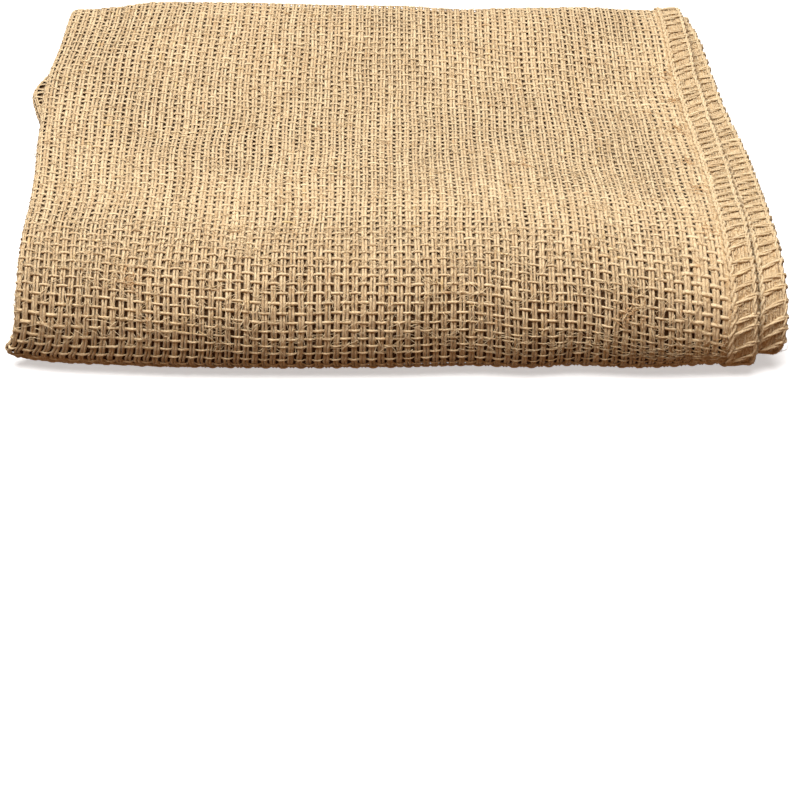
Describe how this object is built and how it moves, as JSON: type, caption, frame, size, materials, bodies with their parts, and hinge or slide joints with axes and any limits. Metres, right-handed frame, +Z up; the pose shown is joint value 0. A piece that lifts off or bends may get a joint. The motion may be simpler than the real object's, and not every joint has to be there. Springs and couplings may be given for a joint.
{
  "type": "folded jute sack",
  "caption": "Jute sack of open plain weave, overlocked down both sides and folded flat, with a soft rolled front fold and both side seams at the right.",
  "frame": {"origin": "middle of the footprint, on the surface the folded sack lies on", "axes": "+Z up, +X to the side with the two seams, -Y to the rolled front fold"},
  "size_m": [0.3184, 0.2452, 0.0463],
  "materials": {
    "jute_cloth": "matte natural jute, doubled warps and single wefts with small gaps between",
    "seam_twine": "matte natural jute twine, overlocked"
  },
  "bodies": {
    "root": {"sack_cloth": "jute_cloth", "side_seam_inboard": "seam_twine", "side_seam_outboard": "seam_twine"}
  },
  "joints": []
}
